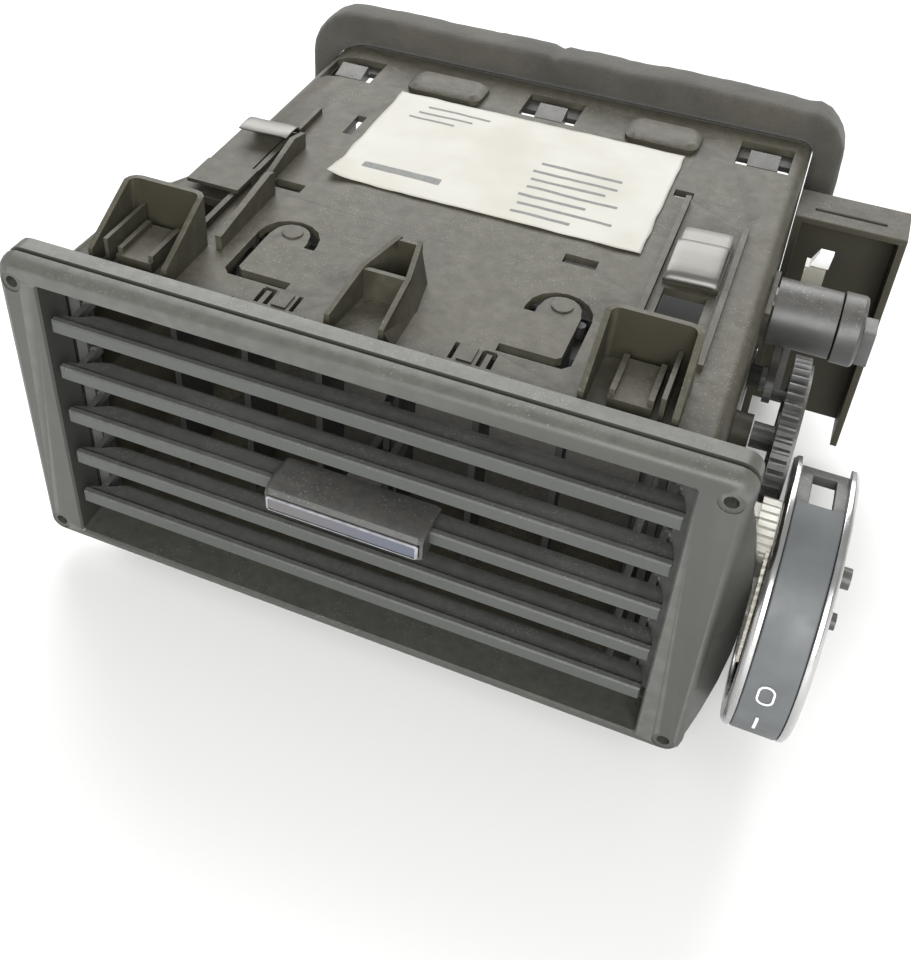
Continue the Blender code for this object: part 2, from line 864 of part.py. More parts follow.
def clip_ledge():
    """The thin ledge on the far left behind the pocket, with a recess under it that is open in front."""
    return prism(
        "x",
        [
            (55.8, HOUSING_TOP - 0.5),
            (58.6, HOUSING_TOP - 0.5),
            (58.6, 43.6),
            (48.2, 43.6),
            (48.2, 42.6),
            (55.8, 42.6),
        ],
        -63.6,
        -49.6,
    )


def dome(x_low, x_high, y_low, y_high, height):
    floor = HOUSING_TOP - 0.5
    base = rounded_rectangle((x_low, y_low), (x_high, y_high), (3.0,) * 4, 3)
    cap = rounded_rectangle((x_low + 1.6, y_low + 1.6), (x_high - 1.6, y_high - 1.6), (2.0,) * 4, 3)
    return loft(
        [
            [(x, y, floor) for x, y in base],
            [(x, y, HOUSING_TOP + 0.6 * height) for x, y in base],
            [(x, y, HOUSING_TOP + height) for x, y in cap],
        ]
    )


def dimple(x):
    return cylinder("z", (x, 41.4), 2.5, HOUSING_TOP - 0.5, HOUSING_TOP + 0.4, 14)


def wall_bosses():
    """Bosses on the right wall for the gear stub and the flap shaft, and ribs for the lamp holder."""
    y, z = LAMP_AXIS
    ribs = [box(75.0, 77.2, y - 9.0, y + 9.0, z + drop, z + drop + 1.4) for drop in (-5.5, 3.5)]
    return [cylinder("x", GEAR_AXIS, 4.3, 75.0, 80.0, 20)] + ribs


def upright_sockets():
    return group(
        *[cylinder("z", (x, UPRIGHT_Y), 1.4, 38.0, 40.2, 10) for x in upright_places()]
    )


def housing_upper():
    upper = build("housing_upper", shell(), housing_plastic())
    body, space = side_pocket()
    for solid in (body, mirrored(body)):
        join(upper, solid)
    for solid in (space, mirrored(space)):
        cut(upper, solid)
    for solid in centre_pocket():
        join(upper, solid)
    for solid in pocket_tongue():
        join(upper, solid)
        join(upper, mirrored(solid))
    for solid in clip_seat() + left_clip_seat() + [snap_pad(), mirrored(snap_pad())]:
        join(upper, solid)
    for solid in long_rib() + [clip_ledge(), dome(-35.0, -13.0, 118.0, 130.0, 2.2)]:
        join(upper, solid)
    dimples = [dimple(TONGUE_X), dimple(2 * TONGUE_MIDDLE - TONGUE_X)]
    for solid in [dome(28.0, 48.0, 118.6, 131.0, 2.0)] + dimples + wall_bosses():
        join(upper, solid)
    cut(upper, tongue_slots())
    for solid in (top_windows(), snap_slots(), notch_dents(), upright_sockets()):
        cut(upper, solid)
    cut(upper, flap_bearing_hole())
    cut(upper, box(54.0, 64.6, 62.0, 78.0, 41.2, 44.0))
    return smooth(upper)


def flap_bearing_hole():
    return cylinder("x", FLAP_AXIS, 3.2, HOUSING_LEFT_REAR - 3.0, HOUSING_RIGHT + 6.0, 20)


def housing_lower():
    lower = build("housing_lower", flipped(shell()), housing_plastic())
    join(lower, cylinder("x", WHEEL_AXIS, 5.0, 75.0, 80.0, 20))
    cut(lower, flipped(upright_sockets()))
    cut(lower, flap_bearing_hole())
    return smooth(lower)


# ---------------------------------------------------------------- rear spigot and foam


def duct_loop(y, grow, left=HOUSING_LEFT_REAR):
    outline = rounded_rectangle(
        (left - grow, -HOUSING_TOP - grow),
        (HOUSING_RIGHT + grow, HOUSING_TOP + grow),
        (14.0 + grow, 3.4 + max(grow, -2.6), 3.4 + max(grow, -2.6), 14.0 + grow),
    )
    return [(x, y, z) for x, z in outline]


def rear_collar():
    """The spigot that snaps into the housing's rear end and carries the foam."""
    front = 128.0
    loops = [
        duct_loop(front, -2.4),
        duct_loop(138.9, -2.4),
        duct_loop(138.9, 0.0),
        duct_loop(FOAM_REAR - 0.8, 0.0),
        duct_loop(FOAM_REAR - 0.8, -4.0),
        duct_loop(front, -4.0),
    ]
    collar = build("rear_collar", loft(loops, ring=True), dark_plastic())
    hooks = []
    for x, y in ((-54.0, 124.5), (6.0, 126.5), (65.0, 126.5)):
        profile = [
            (y - 4.0, 37.2),
            (y + 8.0, 37.2),
            (y + 8.0, 38.2),
            (y + 2.0, 38.4),
            (y + 1.6, 41.2),
            (y - 4.0, 39.6),
        ]
        hooks.append(prism("x", profile, x - 4.0, x + 4.0))
    for hook in hooks:
        join(collar, hook)
    return smooth(collar)


def foam_loop(y, outset, inner):
    if inner:
        return duct_loop(y, 0.4)
    outline = rounded_rectangle(
        (FOAM_LEFT - outset, -FOAM_TOP - outset),
        (FOAM_RIGHT + outset, FOAM_TOP + outset),
        (14.0, 13.0, 13.0, 14.0),
    )
    return [(x, y, z) for x, z in outline]


def foam_seal():
    loops = [
        foam_loop(FOAM_FRONT, -1.2, False),
        foam_loop(FOAM_FRONT + 1.6, 0.0, False),
        foam_loop(FOAM_REAR - 2.4, 0.0, False),
        foam_loop(FOAM_REAR, -2.2, False),
        foam_loop(FOAM_REAR, 0.0, True),
        foam_loop(FOAM_FRONT, 0.0, True),
    ]
    return smooth(build("foam_seal", loft(loops, ring=True), foam()), math.radians(60))


# ---------------------------------------------------------------- shut-off flap


def flap_outline(grow):
    return rounded_rectangle(
        (-65.4 - grow, FLAP_AXIS[0] - FLAP_HALF - grow),
        (72.6 + grow, FLAP_AXIS[0] + FLAP_HALF + grow),
        (14.0, 4.0, 4.0, 14.0),
    )


def shutoff_flap():
    pivot = (0.0, *FLAP_AXIS)
    plate = prism("z", flap_outline(0.0), -1.0, 1.0)
    flap = build("shutoff_flap", plate, dark_plastic(), pivot)
    cut(flap, frame_channel())
    join(flap, cylinder("x", FLAP_AXIS, 2.9, -68.6, 79.0, 20))
    return smooth(flap)


def frame_channel():
    """The edge groove that the flap's seal sits in."""
    outer = flap_outline(5.0)
    inner = flap_outline(-1.2)
    loops = [
        [(x, y, -0.55) for x, y in outer],
        [(x, y, 0.55) for x, y in outer],
        [(x, y, 0.55) for x, y in inner],
        [(x, y, -0.55) for x, y in inner],
    ]
    return loft(loops, ring=True)


def flap_seal(front):
    """One half of the soft lip round the flap, on its own side of the shaft."""
    outer = flap_outline(0.9)
    inner = flap_outline(-0.9)
    loops = [
        [(x, y, -0.3) for x, y in outer],
        [(x, y, 0.3) for x, y in outer],
        [(x, y, 0.3) for x, y in inner],
        [(x, y, -0.3) for x, y in inner],
    ]
    name = "flap_seal_front" if front else "flap_seal_rear"
    seal = build(name, loft(loops, ring=True), foam(), (0.0, *FLAP_AXIS))
    y = FLAP_AXIS[0]
    low, high = (y - 3.6, y + 60.0) if front else (y - 60.0, y + 3.6)
    return cut(seal, box(-80.0, 90.0, low, high, -5.0, 5.0))


def crank_pin(axis):
    """Where a crank arm of the flap linkage ends, from its own axis."""
    return (
        axis[0] + CRANK_RADIUS * math.cos(CRANK_ANGLE),
        axis[1] + CRANK_RADIUS * math.sin(CRANK_ANGLE),
    )


def arm_outline(start, end, radius):
    """A bar with round ends between two centres."""
    angle = math.atan2(end[1] - start[1], end[0] - start[0])
    first = circle(end, radius, 8, angle - 0.5 * math.pi, angle + 0.5 * math.pi)
    second = circle(start, radius, 8, angle + 0.5 * math.pi, angle + 1.5 * math.pi)
    return first + second


def flap_lever():
    lever = build(
        "flap_lever",
        prism("x", arm_outline(FLAP_AXIS, crank_pin(FLAP_AXIS), 3.6), 82.6, 84.4),
        dark_plastic(),
        (0.0, *FLAP_AXIS),
    )
    join(lever, cylinder("x", FLAP_AXIS, 3.4, 79.3, 83.0, 16))
    join(lever, cylinder("x", crank_pin(FLAP_AXIS), 1.2, 79.9, 83.0, 10))
    return smooth(lever)


def flap_rod():
    start = crank_pin(GEAR_AXIS)
    end = crank_pin(FLAP_AXIS)
    bar = prism("x", arm_outline(start, end, 2.6), ROD_LEFT, ROD_RIGHT)
    rod = build("flap_rod", bar, dark_plastic(), (0.0, *start))
    holes = [cylinder("x", spot, 1.45, ROD_LEFT - 2.0, ROD_RIGHT + 2.0, 12) for spot in (start, end)]
    cut(rod, group(*holes))
    return smooth(rod)


# ---------------------------------------------------------------- drive gear and thumbwheel


def mesh_phase(teeth, centre, other, tooth_faces):
    """Turns a gear so that a tooth, or a gap, faces the other gear's centre."""
    towards = math.atan2(other[1] - centre[1], other[0] - centre[0])
    return towards if tooth_faces else towards + math.pi / teeth


def drive_gear():
    """The large toothed wheel with its flange, crank pin and hub."""
    phase = mesh_phase(GEAR_TEETH, GEAR_AXIS, WHEEL_AXIS, True)
    teeth = prism("x", gear_outline(GEAR_AXIS, GEAR_TEETH, phase), GEAR_LEFT, 88.6)
    gear = build("drive_gear", teeth, dark_plastic(), (0.0, *GEAR_AXIS))
    join(gear, cylinder("x", GEAR_AXIS, 18.3, 88.2, GEAR_RIGHT, 40))
    hollow = turned("x", GEAR_AXIS, [(6.5, 84.0), (15.4, 84.0), (15.4, 86.4), (6.5, 86.4)], 32)
    cut(gear, hollow)
    join(gear, cylinder("x", crank_pin(GEAR_AXIS), 1.2, 80.0, 86.8, 10))
    cut(gear, cylinder("x", GEAR_AXIS, 3.3, 80.0, 95.0, 20))
    return smooth(gear)


def gear_stub():
    """The fixed pin that the drive gear turns on, with a head that keeps it in place."""
    profile = [
        (3.0, BOSS_END),
        (3.0, GEAR_RIGHT + 0.3),
        (2.0, GEAR_RIGHT + 0.45),
        (0.6, GEAR_RIGHT + 0.45),
        (0.6, BOSS_END),
    ]
    stub = turned("x", GEAR_AXIS, profile, 20)
    return smooth(build("gear_stub", stub, dark_plastic()))


def thumbwheel_core():
    """The clear drum with its toothed ring, which also carries light to the marks."""
    phase = mesh_phase(WHEEL_TEETH, WHEEL_AXIS, GEAR_AXIS, False)
    teeth = prism("x", gear_outline(WHEEL_AXIS, WHEEL_TEETH, phase), GEAR_LEFT, 88.6)
    core = build("thumbwheel_gear", teeth, clear_plastic(), (0.0, *WHEEL_AXIS))
    join(core, cylinder("x", WHEEL_AXIS, 10.6, 88.2, 90.6, 28))
    cut(core, cylinder("x", WHEEL_AXIS, 4.3, 80.0, 110.0, 20))
    return smooth(core)


def arc_turned(profile, start, end, steps):
    """A (radius, x) profile swept round the wheel's axis between two angles."""
    loops = []
    for i in range(steps + 1):
        angle = start + (end - start) * i / steps
        y_part = math.cos(angle)
        z_part = math.sin(angle)
        loops.append([(x, WHEEL_AXIS[0] + r * y_part, WHEEL_AXIS[1] + r * z_part) for r, x in profile])
    return loft(loops)


def arc_block(inner, outer, low, high, start, end, steps):
    return arc_turned([(inner, low), (outer, low), (outer, high), (inner, high)], start, end, steps)


def thumbwheel_drum():
    """The wheel's body: a hub, a web on the left, and a rim that is open behind and has a window on top."""
    pivot = (0.0, *WHEEL_AXIS)
    rim_inner = WHEEL_RADIUS - 4.1
    rim_outer = WHEEL_RADIUS - 1.9
    rim_right = WHEEL_RIGHT - 1.6
    hub = cylinder("x", WHEEL_AXIS, 8.4, 91.0, rim_right, 24)
    drum = build("thumbwheel_drum", hub, dark_plastic(), pivot)
    join(drum, arc_block(6.0, rim_inner + 0.8, 91.7, 93.3, RIM_START + 0.04, RIM_END - 0.04, 31))
    join(drum, arc_block(rim_inner, rim_outer, 91.4, rim_right, RIM_START, RIM_END, 32))
    window = arc_block(rim_inner - 2.0, rim_outer + 2.0, 94.6, 99.4, RIM_START + 0.12, GRIP_START - 0.04, 4)
    cut(drum, window)
    cut(drum, cylinder("x", WHEEL_AXIS, 4.3, 80.0, 110.0, 20))
    return smooth(drum)


def thumbwheel_plate():
    """The plate that closes the right side of the drum and carries its two pegs."""
    face = WHEEL_RIGHT - 1.2
    outer = WHEEL_RADIUS - 5.4
    profile = [(9.0, face), (outer, face), (outer, WHEEL_RIGHT - 0.3), (9.0, WHEEL_RIGHT - 0.3)]
    sector = arc_turned(profile, RIM_START, RIM_END, 32)
    plate = build("thumbwheel_plate", sector, dark_plastic(), (0.0, *WHEEL_AXIS))
    for centre, radius, length in (((17.0, 11.4), 2.3, 2.8), ((8.9, 6.9), 1.8, 1.9)):
        join(plate, cylinder("x", centre, radius, WHEEL_RIGHT - 0.8, WHEEL_RIGHT + length, 14))
    return smooth(plate)


def grip_band():
    """The soft band over the front of the rim."""
    left = WHEEL_LEFT + RING_WIDTH + 0.1
    right = WHEEL_RIGHT - RING_WIDTH - 0.1
    profile = [
        (WHEEL_RADIUS - 1.6, left),
        (WHEEL_RADIUS - 0.2, left),
        (WHEEL_RADIUS, left + 0.4),
        (WHEEL_RADIUS, right - 0.4),
        (WHEEL_RADIUS - 0.2, right),
        (WHEEL_RADIUS - 1.6, right),
    ]
    band = arc_turned(profile, GRIP_START, RIM_END, 30)
    return smooth(build("grip_band", band, rubber(), (0.0, *WHEEL_AXIS)))


def chrome_ring(side):
    """A bright edge ring on one side of the band."""
    name = "chrome_ring_right" if side > 0 else "chrome_ring_left"
    face, step = (WHEEL_RIGHT, -1.0) if side > 0 else (WHEEL_LEFT, 1.0)
    width = RING_WIDTH
    depths = [(5.1, 1.2), (1.6, 1.2), (1.6, width), (0.0, width), (0.0, 0.8), (0.9, 0.0), (5.1, 0.0)]
    profile = [(WHEEL_RADIUS - drop, face + step * depth) for drop, depth in depths]
    ring = arc_turned(profile, RIM_START, RIM_END, 34)
    return smooth(build(name, ring, bright_chrome(), (0.0, *WHEEL_AXIS)))


def wheel_axle():
    """The fixed axle with a collar at its outer end."""
    end = WHEEL_RIGHT + 0.6
    profile = [(4.0, BOSS_END), (4.0, end - 0.8), (3.0, end), (0.8, end), (0.8, BOSS_END)]
    return smooth(build("wheel_axle", turned("x", WHEEL_AXIS, profile, 20), dark_plastic()))


def wheel_marks():
    """The raised ring and bar that mark shut and open on the band."""
    pivot = (0.0, *WHEEL_AXIS)
    smooth(build("mark_shut", band_ring(math.radians(175.1), WHEEL_MIDDLE), white_plastic(), pivot))
    low = WHEEL_RADIUS + 0.05
    start, end = math.radians(189.6), math.radians(200.0)
    left = WHEEL_MIDDLE - 0.35
    build("mark_open", arc_block(low, low + 0.2, left, left + 0.6, start, end, 4), white_plastic(), pivot)


def band_ring(place_angle, x_middle):
    """A flat ring in the shape of a rounded oblong laid on the band."""
    loops = []
    low = WHEEL_RADIUS + 0.05
    high = low + 0.2
    outer = rounded_rectangle((-1.75, -2.6), (1.75, 2.6), (1.65,) * 4, 5)
    inner = rounded_rectangle((-1.35, -2.2), (1.35, 2.2), (1.25,) * 4, 5)
    for (x, around), (inner_x, inner_around) in zip(outer, inner):
        loop = []
        for along, turn, lift in (
            (inner_x, inner_around, low),
            (x, around, low),
            (x, around, high),
            (inner_x, inner_around, high),
        ):
            angle = place_angle + turn / WHEEL_RADIUS
            loop.append(
                (
                    x_middle + along,
                    WHEEL_AXIS[0] + lift * math.cos(angle),
                    WHEEL_AXIS[1] + lift * math.sin(angle),
                )
            )
        loops.append(loop)
    return loft(loops, ring=True)


# ---------------------------------------------------------------- right side fittings


def lamp_holder():
    """The round socket on the right wall, its cap and the plug in the cap."""
    body = build("lamp_holder", cylinder("x", LAMP_AXIS, 8.0, 77.6, 92.0, 28), dark_plastic())
    profile = [(1.5, 92.3), (8.5, 92.3), (8.5, 97.0), (7.9, 97.6), (1.5, 97.6)]
    smooth(build("lamp_cap", turned("x", LAMP_AXIS, profile, 28), dark_plastic()))
    y, z = LAMP_AXIS
    build("lamp_plug", box(97.9, 100.8, y - 3.4, y + 2.6, z - 7.0, z + 3.0), dark_plastic())
    return smooth(body)


def light_pin():
    """The clear strip that stands behind the lamp holder on a foot from the wall."""
    pin = build("light_pin", box(82.0, 87.0, 93.0, 97.0, 18.0, 32.5), clear_plastic())
    join(pin, box(76.3, 84.0, 93.4, 96.6, 18.4, 22.0))
    tip = loft(
        [
            [(83.0, 93.4, 32.8), (87.4, 93.4, 32.8), (87.4, 96.6, 32.8), (83.0, 96.6, 32.8)],
            [(84.6, 94.0, 36.6), (87.8, 94.0, 36.6), (87.8, 96.0, 36.6), (84.6, 96.0, 36.6)],
        ]
    )
    build("light_pin_tip", tip, white_plastic())


def ribbed_arc(inner, outer, start, end):
    """An arc between two radii round the wheel's axis, with small ribs outside. Angles are in degrees."""
    steps = round((end - start) / RIB_STEP)
    outline = []
    for i in range(steps + 1):
        radius = outer if i % 2 else outer - RIB_DEPTH
        angle = math.radians(start + (end - start) * i / steps)
        outline.append((radius, angle))
    for angle in (end, (start + end) / 2, start):
        outline.append((inner, math.radians(angle)))
    return [(WHEEL_AXIS[0] + r * math.cos(t), WHEEL_AXIS[1] + r * math.sin(t)) for r, t in outline]


def light_guide():
    """The fixed clear guide beside the thumbwheel: a ribbed head on a foot, and a thin strip running down."""
    head = prism("x", ribbed_arc(21.0, GUIDE_RADIUS, 96.0, 121.0), 86.0, GUIDE_RIGHT)
    guide = build("light_guide", head, clear_plastic())
    join(guide, prism("x", ribbed_arc(24.6, GUIDE_RADIUS - 0.1, 119.0, 168.0), 89.0, GUIDE_RIGHT - 0.05))
    return join(guide, box(76.3, 87.0, 16.5, 20.5, 18.6, 21.4))


def side_bracket():
    """The box-shaped lug at the right rear, open in front, with a groove across its top."""
    body = box(76.4, 104.5, 113.0, 127.0, -38.0, 34.0)
    bracket = build("side_bracket", body, housing_plastic())
    cut(bracket, box(78.4, 102.7, 100.0, 125.2, -50.0, 32.2))
    cut(bracket, box(81.0, 99.0, 117.6, 118.7, 33.2, 36.0))
    return bracket


def spring_clip(side):
    """A bent steel strip that grips the dashboard opening."""
    name = "spring_clip_right" if side > 0 else "spring_clip_left"
    bent = [(81.0, 42.8), (73.4, 43.0), (72.4, 44.2), (71.2, 45.8), (66.0, 45.5), (60.4, 44.6), (59.2, 43.4)]
    outline = stroke(bent, 0.6)
    strip = prism("x", outline, 53.2, 64.0)
    if side < 0:
        strip = mirrored(strip)
    return build(name, strip, spring_steel())


def label():
    outline = rounded_rectangle((-35.4, 67.6), (45.8, 116.8), (1.0,) * 4, 2)
    return build("label", prism("z", outline, HOUSING_TOP + 0.3, HOUSING_TOP + 0.5), label_paper())


# ---------------------------------------------------------------- assembly


def stand_on_origin(root):
    """Moves the outlet so that its bounding box is centred over the origin and rests on the ground."""
    bpy.context.view_layer.update()
    corners = []
    for obj in bpy.data.objects:
        if obj.type == "MESH":
            corners.extend(obj.matrix_world @ vertex.co for vertex in obj.data.vertices)
    low = [min(corner[i] for corner in corners) for i in range(3)]
    high = [max(corner[i] for corner in corners) for i in range(3)]
    root.location = (-(low[0] + high[0]) / 2, -(low[1] + high[1]) / 2, -low[2])


def main():
    global ROOT
    clear_scene()
    ROOT = bpy.data.objects.new("outlet", None)
    bpy.context.scene.collection.objects.link(ROOT)
    front_bezel()
    horizontal_vanes()
    for side in (-1, 1):
        bearing_strip(side)
        spring_clip(side)
        chrome_ring(side)
    vane_link()
    slider_knob()
    knob_insert()
    vertical_vanes()
    upright_link()
    housing_upper()
    housing_lower()
    rear_collar()
    foam_seal()
    shutoff_flap()
    flap_seal(True)
    flap_seal(False)
    flap_lever()
    flap_rod()
    drive_gear()
    gear_stub()
    thumbwheel_core()
    thumbwheel_drum()
    grip_band()
    wheel_axle()
    thumbwheel_plate()
    wheel_marks()
    lamp_holder()
    light_pin()
    light_guide()
    side_bracket()
    label()
    stand_on_origin(ROOT)


main()
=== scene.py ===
"""Looks of the dashboard air outlet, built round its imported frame.

Lengths in the helpers are millimetres in the outlet's own frame, centred on the front
opening: X to the right seen from the front, Y along the duct, Z up. shifted() turns
them into the frame's metres.
"""

import json
import math

import bmesh
import bpy
from mathutils import Matrix, Vector, noise


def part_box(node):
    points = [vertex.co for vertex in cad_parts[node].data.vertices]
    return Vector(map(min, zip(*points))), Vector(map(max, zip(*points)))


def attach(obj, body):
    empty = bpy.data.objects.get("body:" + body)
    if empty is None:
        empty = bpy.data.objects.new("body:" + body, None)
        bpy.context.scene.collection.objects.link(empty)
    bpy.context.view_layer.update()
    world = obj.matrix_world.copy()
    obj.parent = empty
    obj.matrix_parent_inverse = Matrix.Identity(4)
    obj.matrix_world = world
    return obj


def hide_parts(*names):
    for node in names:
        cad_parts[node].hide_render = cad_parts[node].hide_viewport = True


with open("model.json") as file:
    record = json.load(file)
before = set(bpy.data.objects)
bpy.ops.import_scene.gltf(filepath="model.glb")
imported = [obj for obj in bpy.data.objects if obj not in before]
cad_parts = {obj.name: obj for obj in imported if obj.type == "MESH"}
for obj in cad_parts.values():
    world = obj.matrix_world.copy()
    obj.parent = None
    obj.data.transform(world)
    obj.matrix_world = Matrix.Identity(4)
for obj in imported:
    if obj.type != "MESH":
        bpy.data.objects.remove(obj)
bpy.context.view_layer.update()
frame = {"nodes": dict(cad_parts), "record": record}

MM = 0.001
RECORD = frame["record"]
SLOT_OF = {part["node"]: part["material_slot"] for part in RECORD["subparts"]}
BODY_OF = {node: body for body, nodes in RECORD["behaviour"]["bodies"].items() for node in nodes}

# The foam ring's left, rear and lower sides fix the outlet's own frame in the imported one.
FOAM_LEFT = -75.5
FOAM_REAR = 151.6
FOAM_BOTTOM = -50.0
foam_low, foam_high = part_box("foam_seal")
ORIGIN = Vector(
    (foam_low.x - FOAM_LEFT * MM, foam_high.y - FOAM_REAR * MM, foam_low.z - FOAM_BOTTOM * MM)
)


def shifted(x, y, z):
    """A point in the outlet's own millimetres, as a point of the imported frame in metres."""
    return ORIGIN + Vector((x, y, z)) * MM


# ---------------------------------------------------------------- materials


class Shader:
    """A Principled material with short calls for the nodes that it is made of."""

    # The Mix node has one set of sockets for each data type. These are the ones for colours.
    MIX_A = 6
    MIX_B = 7
    MIX_RESULT = 2

    def __init__(self, name, colour, roughness, metallic=0.0):
        self.material = bpy.data.materials.new(name)
        self.material.use_nodes = True
        self.tree = self.material.node_tree
        self.tree.nodes.clear()
        self.output = self.tree.nodes.new("ShaderNodeOutputMaterial")
        self.shader = self.tree.nodes.new("ShaderNodeBsdfPrincipled")
        self.tree.links.new(self.shader.outputs[0], self.output.inputs[0])
        self.shader.inputs["Base Color"].default_value = (*colour, 1.0)
        self.shader.inputs["Roughness"].default_value = roughness
        self.shader.inputs["Metallic"].default_value = metallic
        self.place = self.tree.nodes.new("ShaderNodeTexCoord").outputs["Object"]
        self.facing = self.tree.nodes.new("ShaderNodeNewGeometry")
        self.bumps = None

    def set(self, **values):
        """Sets plain values on the shader's own sockets."""
        for name, value in values.items():
            self.shader.inputs[name.replace("_", " ")].default_value = value
        return self

    def link(self, value, socket):
        self.tree.links.new(value, self.shader.inputs[socket])
        return self

    def noise(self, scale, detail=2.0, roughness=0.5, stretch=None):
        """Soft noise in the object's own space, stretched when asked."""
        node = self.tree.nodes.new("ShaderNodeTexNoise")
        node.inputs["Scale"].default_value = scale
        node.inputs["Detail"].default_value = detail
        node.inputs["Roughness"].default_value = roughness
        place = self.place
        if stretch:
            mapping = self.tree.nodes.new("ShaderNodeMapping")
            mapping.inputs["Scale"].default_value = stretch
            self.tree.links.new(place, mapping.inputs["Vector"])
            place = mapping.outputs[0]
        self.tree.links.new(place, node.inputs["Vector"])
        return node.outputs["Fac"]

    def cells(self, scale):
        """Distance to the nearest of many scattered points."""
        node = self.tree.nodes.new("ShaderNodeTexVoronoi")
        node.inputs["Scale"].default_value = scale
        self.tree.links.new(self.place, node.inputs["Vector"])
        return node.outputs["Distance"]

    def ramp(self, value, low, high, start=0.0, end=1.0):
        """A smooth step from start to end as the value goes from low to high."""
        node = self.tree.nodes.new("ShaderNodeMapRange")
        node.interpolation_type = "SMOOTHSTEP"
        self.tree.links.new(value, node.inputs["Value"])
        node.inputs["From Min"].default_value = low
        node.inputs["From Max"].default_value = high
        node.inputs["To Min"].default_value = start
        node.inputs["To Max"].default_value = end
        return node.outputs["Result"]

    def math(self, operation, a, b):
        node = self.tree.nodes.new("ShaderNodeMath")
        node.operation = operation
        for value, socket in ((a, node.inputs[0]), (b, node.inputs[1])):
            if isinstance(value, (int, float)):
                socket.default_value = value
            else:
                self.tree.links.new(value, socket)
        return node.outputs[0]

    def upward(self):
        """How far a face looks up, from 0 to 1."""
        split = self.tree.nodes.new("ShaderNodeSeparateXYZ")
        self.tree.links.new(self.facing.outputs["Normal"], split.inputs[0])
        return self.ramp(split.outputs["Z"], 0.2, 0.9)

    def edges(self):
        """How sharp a convex edge is, from 0 to 1."""
        return self.ramp(self.facing.outputs["Pointiness"], 0.52, 0.58)

    def mix(self, factor, a, b):
        """A blend of two colours, or of sockets that carry them."""
        node = self.tree.nodes.new("ShaderNodeMix")
        node.data_type = "RGBA"
        self.tree.links.new(factor, node.inputs["Factor"])
        for value, socket in ((a, node.inputs[self.MIX_A]), (b, node.inputs[self.MIX_B])):
            if isinstance(value, tuple):
                socket.default_value = (*value, 1.0)
            else:
                self.tree.links.new(value, socket)
        return node.outputs[self.MIX_RESULT]

    def bump(self, height, distance, strength):
        """Adds a bump on top of those already there."""
        node = self.tree.nodes.new("ShaderNodeBump")
        node.inputs["Distance"].default_value = distance
        node.inputs["Strength"].default_value = strength
        self.tree.links.new(height, node.inputs["Height"])
        if self.bumps:
            self.tree.links.new(self.bumps, node.inputs["Normal"])
        self.bumps = node.outputs[0]
        self.tree.links.new(self.bumps, self.shader.inputs["Normal"])
        return self


def linear(r, g, b):
    """A colour given as 0 to 255 display values, as the shader's linear values."""
    shares = (r / 255, g / 255, b / 255)
    return tuple(c / 12.92 if c <= 0.04045 else ((c + 0.055) / 1.055) ** 2.4 for c in shares)


DUST = linear(150, 145, 132)
WEAR = 0.35


def moulded(name, colour, roughness, grain, dust_amount, shine):
    """Moulded plastic: fine grain, patchy handling marks, dust on what looks up and rubbed edges."""
    look = Shader(name, colour, roughness)
    patches = look.noise(55.0, 4.0, 0.6)
    tone = look.mix(look.ramp(patches, 0.2, 0.85), colour, tuple(c * 1.12 for c in colour))
    worn = look.ramp(look.noise(300.0, 3.0), 0.35, 0.7, 0.2, WEAR)
    rubbed = look.math("MULTIPLY", look.edges(), worn)
    tone = look.mix(rubbed, tone, tuple(min(1.0, c * 2.6 + 0.04) for c in colour))
    film = look.math("MULTIPLY", look.upward(), look.ramp(look.noise(420.0, 6.0, 0.7), 0.2, 0.9))
    film = look.math("MULTIPLY", film, dust_amount)
    specks = look.math("LESS_THAN", look.cells(1100.0), 0.2)
    drift = look.ramp(look.noise(60.0, 2.0), 0.42, 0.6, 0.0, dust_amount * 2.6)
    specks = look.math("MULTIPLY", specks, drift)
    specks = look.math("MULTIPLY", specks, look.upward())
    tone = look.mix(look.math("MAXIMUM", film, specks), tone, DUST)
    look.link(tone, "Base Color")
    gloss = look.ramp(look.noise(260.0, 4.0), 0.2, 0.8, roughness - 0.03, roughness + 0.05)
    look.link(gloss, "Roughness")
    look.bump(look.noise(grain, 2.0, 0.6), 0.00006, 0.5)
    return look.set(Specular_IOR_Level=shine).material


def painted_shade_look(name, colour):
    """Painted shade: a much darker, matt copy of the plastic for the pieces deep in the duct, with the
    shade that falls there painted into its colour.
    """
    look = Shader(name, colour, 0.6)
    patches = look.ramp(look.noise(70.0, 4.0, 0.6), 0.3, 0.75)
    tone = look.mix(patches, colour, tuple(c * 1.5 for c in colour))
    look.link(tone, "Base Color")
    look.bump(look.noise(1800.0, 2.0), 0.00005, 0.4)
    return look.material


def foam_look():
    """Dark closed-cell foam with open pores."""
    look = Shader("closed_foam", linear(74, 72, 63), 0.92)
    patches = look.noise(40.0, 5.0, 0.65)
    tone = look.mix(look.ramp(patches, 0.3, 0.7), linear(52, 51, 45), linear(72, 69, 61))
    pores = look.cells(1500.0)
    tone = look.mix(look.ramp(pores, 0.0, 0.32), linear(36, 35, 31), tone)
    look.link(tone, "Base Color")
    look.bump(pores, 0.00015, 0.55)
    look.bump(look.noise(220.0, 4.0, 0.6), 0.0004, 0.5)
    return look.set(Sheen_Weight=0.15, Sheen_Roughness=0.6).material


def chrome_look():
    """Bright plating, hazed in patches."""
    look = Shader("bright_chrome", linear(188, 188, 188), 0.26, 1.0)
    look.link(look.ramp(look.noise(180.0, 5.0), 0.35, 0.8, 0.2, 0.36), "Roughness")
    look.bump(look.noise(700.0, 3.0), 0.00003, 0.3)
    return look.material


